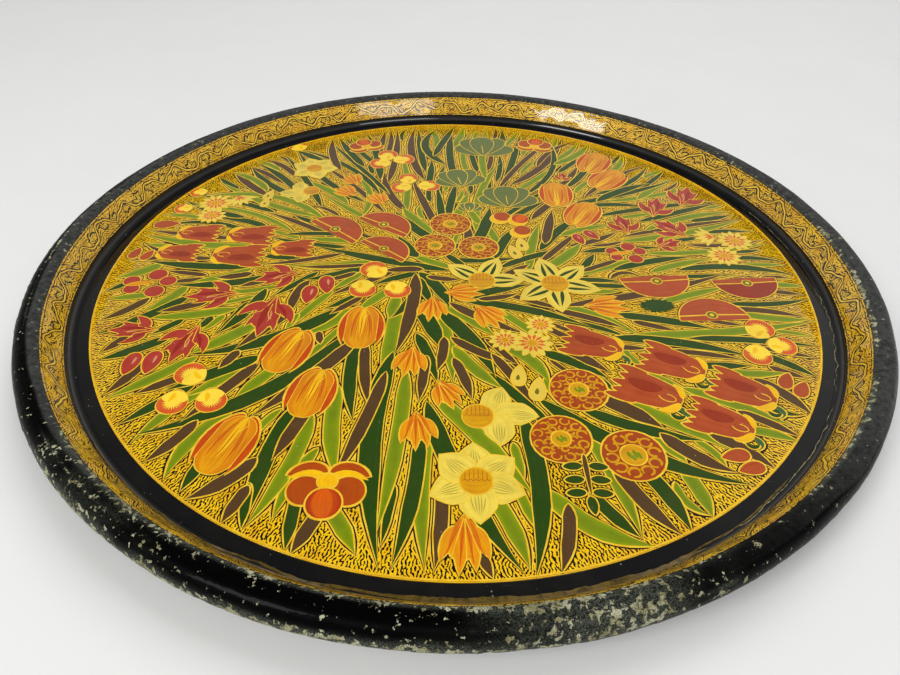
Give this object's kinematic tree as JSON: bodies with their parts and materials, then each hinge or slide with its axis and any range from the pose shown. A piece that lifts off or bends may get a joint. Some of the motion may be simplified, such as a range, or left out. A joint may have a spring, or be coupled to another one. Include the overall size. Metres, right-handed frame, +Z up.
{
  "type": "round lacquer tray",
  "caption": "Round papier-mache serving tray with a flat gilded floor, a low flared rim with a gold band, and a rolled lip turned outward.",
  "frame": {"origin": "centre of the underside, on the table", "axes": "+Z up along the tray's axis, out of its open side"},
  "size_m": [0.38, 0.38, 0.0209],
  "materials": {
    "floor_lacquer": "gloss",
    "rim_lacquer": "gloss",
    "lining_lacquer": "satin",
    "medallion_gold": "gloss",
    "border_gold": "gloss"
  },
  "bodies": {
    "root": {"floor_board": "floor_lacquer", "rim_wall": "rim_lacquer", "lip_bead": "rim_lacquer", "base_lining": "lining_lacquer", "medallion_leaf": "medallion_gold", "border_band": "border_gold"}
  },
  "joints": []
}
